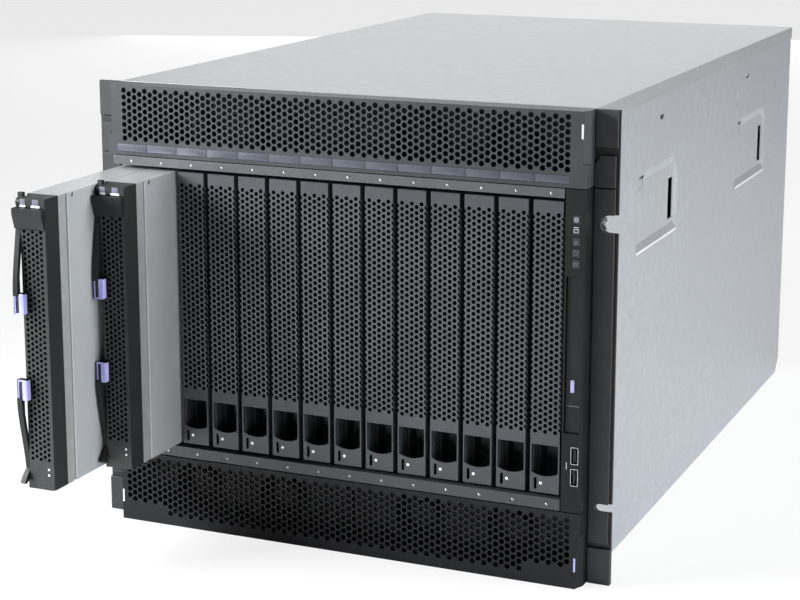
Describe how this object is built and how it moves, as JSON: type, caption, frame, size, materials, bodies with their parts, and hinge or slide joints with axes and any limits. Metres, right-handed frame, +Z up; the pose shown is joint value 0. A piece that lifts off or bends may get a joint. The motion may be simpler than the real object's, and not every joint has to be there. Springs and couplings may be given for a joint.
{
  "type": "blade server chassis",
  "caption": "Rack-mount blade server chassis with drawn-out blades, perforated fillers and bezels, a media tray and rear blowers, each on its own joint.",
  "frame": {"origin": "centre of the body's bottom face: half way across the body and half way from the rack ears' front to the rear face", "axes": "+Z up, -Y out of the front where the blades go in, +X to the right as seen from the front"},
  "size_m": [0.4826, 0.9136, 0.4],
  "materials": {
    "zinc_sheet": "zinc-plated sheet, satin",
    "cover_sheet": "zinc-plated sheet, satin",
    "rail_metal": "satin",
    "ear_metal": "satin",
    "black_moulding": "fine grain",
    "filler_paint": "satin",
    "guide_plastic": "matte",
    "circuit_board": "solder mask",
    "connector_plastic": "matte",
    "window_plastic": "clear print",
    "drive_case": "satin",
    "drawer_plastic": "matte",
    "button_plastic": "matte",
    "blade_sheet": "zinc-plated sheet, satin",
    "blade_panel": "grey paint, satin",
    "blade_moulding": "matte",
    "lever_plastic": "matte",
    "power_case": "satin",
    "blower_paint": "satin",
    "wheel_plastic": "matte",
    "module_sheet": "satin"
  },
  "bodies": {
    "chassis": {"base_plate": "zinc_sheet", "left_side": "zinc_sheet", "right_side": "zinc_sheet", "top_cover": "cover_sheet", "bay_ceiling": "zinc_sheet", "bay_floor": "zinc_sheet", "lower_guides": "guide_plastic", "upper_guides": "guide_plastic", "midplane": "circuit_board", "midplane_connectors": "connector_plastic", "tray_wall": "zinc_sheet", "upper_rail": "rail_metal", "lower_rail": "rail_metal", "left_ear": "ear_metal", "right_ear": "ear_metal", "left_ear_covers": "black_moulding", "right_ear_covers": "black_moulding", "power_modules": "power_case", "rear_frame": "zinc_sheet", "rear_grille": "zinc_sheet", "rear_dividers": "zinc_sheet", "rear_fillers": "zinc_sheet", "power_inlets": "connector_plastic"},
    "upper_bezel": {"upper_bezel": "black_moulding"},
    "lower_bezel": {"lower_bezel": "black_moulding"},
    "media_tray": {"media_tray": "black_moulding", "status_windows": "window_plastic", "optical_drive": "drive_case"},
    "disc_drawer": {"disc_drawer": "drawer_plastic"},
    "eject_button": {"eject_button": "button_plastic"},
    "blade_1": {"blade_1_shell": "blade_sheet", "blade_1_cover": "blade_panel", "blade_1_board": "circuit_board", "blade_1_bezel": "blade_moulding"},
    "blade_1_upper_lever": {"blade_1_upper_lever": "lever_plastic"},
    "blade_1_lower_lever": {"blade_1_lower_lever": "lever_plastic"},
    "blade_2": {"blade_2_shell": "blade_sheet", "blade_2_cover": "blade_panel", "blade_2_board": "circuit_board", "blade_2_bezel": "blade_moulding"},
    "blade_2_upper_lever": {"blade_2_upper_lever": "lever_plastic"},
    "blade_2_lower_lever": {"blade_2_lower_lever": "lever_plastic"},
    "upper_blower": {"upper_blower": "blower_paint"},
    "upper_wheel": {"upper_wheel": "wheel_plastic"},
    "lower_blower": {"lower_blower": "blower_paint"},
    "lower_wheel": {"lower_wheel": "wheel_plastic"},
    "network_module": {"network_module": "module_sheet"},
    "management_module": {"management_module": "module_sheet"},
    "filler_3": {"filler_3": "filler_paint"},
    "filler_4": {"filler_4": "filler_paint"},
    "filler_5": {"filler_5": "filler_paint"},
    "filler_6": {"filler_6": "filler_paint"},
    "filler_7": {"filler_7": "filler_paint"},
    "filler_8": {"filler_8": "filler_paint"},
    "filler_9": {"filler_9": "filler_paint"},
    "filler_10": {"filler_10": "filler_paint"},
    "filler_11": {"filler_11": "filler_paint"},
    "filler_12": {"filler_12": "filler_paint"},
    "filler_13": {"filler_13": "filler_paint"},
    "filler_14": {"filler_14": "filler_paint"}
  },
  "joints": [
    {"name": "upper_bezel_pull", "type": "slide", "parent": "chassis", "child": "upper_bezel", "axis": [0, -1, 0], "range_m": [0, 0.06]},
    {"name": "lower_bezel_pull", "type": "slide", "parent": "chassis", "child": "lower_bezel", "axis": [0, -1, 0], "range_m": [0, 0.06]},
    {"name": "media_tray_slide", "type": "slide", "parent": "chassis", "child": "media_tray", "axis": [0, -1, 0], "range_m": [0, 0.1]},
    {"name": "disc_drawer_slide", "type": "slide", "parent": "media_tray", "child": "disc_drawer", "axis": [0, -1, 0], "range_m": [0, 0.11]},
    {"name": "eject_button_press", "type": "slide", "parent": "disc_drawer", "child": "eject_button", "axis": [0, 1, 0], "range_m": [0, 0.001], "stiffness_N_per_m": 200, "springref_m": -0.002},
    {"name": "blade_1_slide", "type": "slide", "parent": "chassis", "child": "blade_1", "axis": [0, -1, 0], "range_m": [-0.154, 0.2]},
    {"name": "blade_1_upper_lever_turn", "type": "hinge", "parent": "blade_1", "child": "blade_1_upper_lever", "pos_m": [-0.21363, -0.527, 0.3212], "axis": [-1, 0, 0], "range_deg": [0, 60]},
    {"name": "blade_1_lower_lever_turn", "type": "hinge", "parent": "blade_1", "child": "blade_1_lower_lever", "pos_m": [-0.21363, -0.527, 0.0877], "axis": [1, 0, 0], "range_deg": [0, 50]},
    {"name": "blade_2_slide", "type": "slide", "parent": "chassis", "child": "blade_2", "axis": [0, -1, 0], "range_m": [-0.081, 0.27]},
    {"name": "blade_2_upper_lever_turn", "type": "hinge", "parent": "blade_2", "child": "blade_2_upper_lever", "pos_m": [-0.18368, -0.454, 0.3212], "axis": [-1, 0, 0], "range_deg": [0, 60]},
    {"name": "blade_2_lower_lever_turn", "type": "hinge", "parent": "blade_2", "child": "blade_2_lower_lever", "pos_m": [-0.18368, -0.454, 0.0877], "axis": [1, 0, 0], "range_deg": [0, 50]},
    {"name": "filler_3_pull", "type": "slide", "parent": "chassis", "child": "filler_3", "axis": [0, -1, 0], "range_m": [0, 0.06]},
    {"name": "filler_4_pull", "type": "slide", "parent": "chassis", "child": "filler_4", "axis": [0, -1, 0], "range_m": [0, 0.06]},
    {"name": "filler_5_pull", "type": "slide", "parent": "chassis", "child": "filler_5", "axis": [0, -1, 0], "range_m": [0, 0.06]},
    {"name": "filler_6_pull", "type": "slide", "parent": "chassis", "child": "filler_6", "axis": [0, -1, 0], "range_m": [0, 0.06]},
    {"name": "filler_7_pull", "type": "slide", "parent": "chassis", "child": "filler_7", "axis": [0, -1, 0], "range_m": [0, 0.06]},
    {"name": "filler_8_pull", "type": "slide", "parent": "chassis", "child": "filler_8", "axis": [0, -1, 0], "range_m": [0, 0.06]},
    {"name": "filler_9_pull", "type": "slide", "parent": "chassis", "child": "filler_9", "axis": [0, -1, 0], "range_m": [0, 0.06]},
    {"name": "filler_10_pull", "type": "slide", "parent": "chassis", "child": "filler_10", "axis": [0, -1, 0], "range_m": [0, 0.06]},
    {"name": "filler_11_pull", "type": "slide", "parent": "chassis", "child": "filler_11", "axis": [0, -1, 0], "range_m": [0, 0.06]},
    {"name": "filler_12_pull", "type": "slide", "parent": "chassis", "child": "filler_12", "axis": [0, -1, 0], "range_m": [0, 0.06]},
    {"name": "filler_13_pull", "type": "slide", "parent": "chassis", "child": "filler_13", "axis": [0, -1, 0], "range_m": [0, 0.06]},
    {"name": "filler_14_pull", "type": "slide", "parent": "chassis", "child": "filler_14", "axis": [0, -1, 0], "range_m": [0, 0.06]},
    {"name": "upper_blower_slide", "type": "slide", "parent": "chassis", "child": "upper_blower", "axis": [0, 1, 0], "range_m": [0, 0.2]},
    {"name": "upper_wheel_spin", "type": "hinge", "parent": "upper_blower", "child": "upper_wheel", "pos_m": [0, 0.33, 0.286], "axis": [0, 1, 0], "continuous": true},
    {"name": "lower_blower_slide", "type": "slide", "parent": "chassis", "child": "lower_blower", "axis": [0, 1, 0], "range_m": [0, 0.2]},
    {"name": "lower_wheel_spin", "type": "hinge", "parent": "lower_blower", "child": "lower_wheel", "pos_m": [0, 0.33, 0.122], "axis": [0, 1, 0], "continuous": true},
    {"name": "network_module_slide", "type": "slide", "parent": "chassis", "child": "network_module", "axis": [0, 1, 0], "range_m": [0, 0.22]},
    {"name": "management_module_slide", "type": "slide", "parent": "chassis", "child": "management_module", "axis": [0, 1, 0], "range_m": [0, 0.22]}
  ]
}
